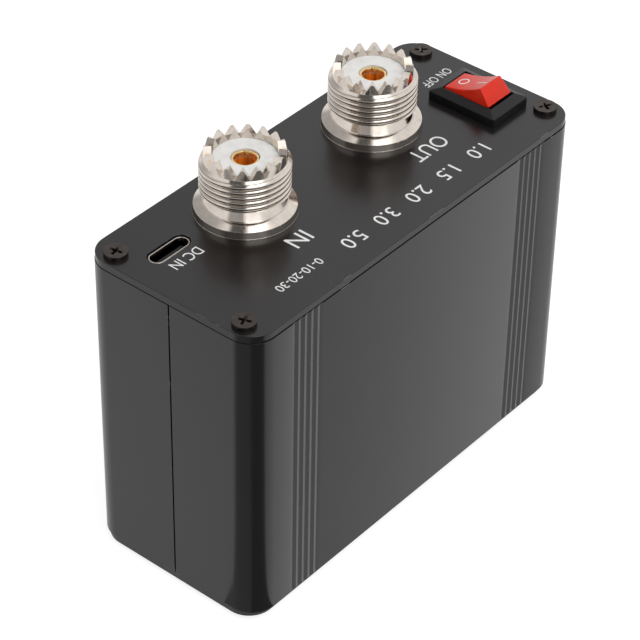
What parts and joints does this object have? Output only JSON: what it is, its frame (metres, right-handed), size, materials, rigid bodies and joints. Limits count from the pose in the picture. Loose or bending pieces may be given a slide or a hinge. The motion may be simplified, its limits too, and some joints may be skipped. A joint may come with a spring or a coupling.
{
  "type": "pocket standing-wave and radio-frequency power meter",
  "caption": "Pocket radio power meter: split extruded case with flat end panels, two crowned coaxial sockets, a charging port and a rocker switch on one end, a display on the other.",
  "frame": {"origin": "middle of the bounding box's underside, at the heads of the front panel's screws, which it stands on", "axes": "+X along the broad side from the charging port to the switch, +Y from the upper case half to the lower one, +Z out of the rear panel along the sockets"},
  "size_m": [0.088, 0.038, 0.0762],
  "materials": {
    "case_aluminium": "dark grey anodised, satin",
    "panel_aluminium": "black anodised, satin",
    "black_steel": "black oxide",
    "nickel": "bright nickel plate",
    "gold_plate": "gold plate",
    "standoff_brass": "bare brass",
    "white_insulator": "machined white",
    "black_plastic": "moulded black",
    "red_plastic": "moulded translucent red, glossy",
    "tinned_steel": "tin plate",
    "circuit_board": "green solder mask",
    "copper": "bare copper",
    "ferrite": "ferrite grey, matt",
    "clear_acrylic": "clear",
    "display_glass": "polished black",
    "cell_foil": "laminated foil",
    "foam_tape": "closed-cell foam"
  },
  "bodies": {
    "meter": {"case_half_upper": "case_aluminium", "case_half_lower": "case_aluminium", "rear_panel": "panel_aluminium", "front_panel": "panel_aluminium", "rear_screw_1": "black_steel", "rear_screw_2": "black_steel", "rear_screw_3": "black_steel", "rear_screw_4": "black_steel", "front_screw_1": "black_steel", "front_screw_2": "black_steel", "front_screw_3": "black_steel", "front_screw_4": "black_steel", "tx_socket_shell": "nickel", "tx_insulator": "white_insulator", "tx_contact": "gold_plate", "tx_lock_washer": "tinned_steel", "tx_nut": "nickel", "antenna_socket_shell": "nickel", "antenna_insulator": "white_insulator", "antenna_contact": "gold_plate", "antenna_lock_washer": "tinned_steel", "antenna_nut": "nickel", "switch_housing": "black_plastic", "switch_terminal_1": "tinned_steel", "switch_terminal_2": "tinned_steel", "port_shell": "tinned_steel", "port_tongue": "black_plastic", "charger_board": "circuit_board", "charger_chip": "black_plastic", "coupler_board": "circuit_board", "line_conductor": "copper", "current_core": "ferrite", "voltage_core": "ferrite", "display_window": "clear_acrylic", "display_glass": "display_glass", "display_board": "circuit_board", "display_header": "black_plastic", "main_board": "circuit_board", "controller_chip": "black_plastic", "board_standoff_1": "standoff_brass", "board_standoff_2": "standoff_brass", "board_standoff_3": "standoff_brass", "board_standoff_4": "standoff_brass", "board_screw_1": "tinned_steel", "board_screw_2": "tinned_steel", "board_screw_3": "tinned_steel", "board_screw_4": "tinned_steel", "cell": "cell_foil", "cell_tape": "foam_tape"},
    "rocker": {"switch_rocker": "red_plastic"}
  },
  "joints": [
    {"name": "switch_throw", "type": "hinge", "parent": "meter", "child": "rocker", "pos_m": [0.03505, -0.0034, 0.0637], "axis": [1, 0, 0], "range_deg": [0, 40]}
  ]
}
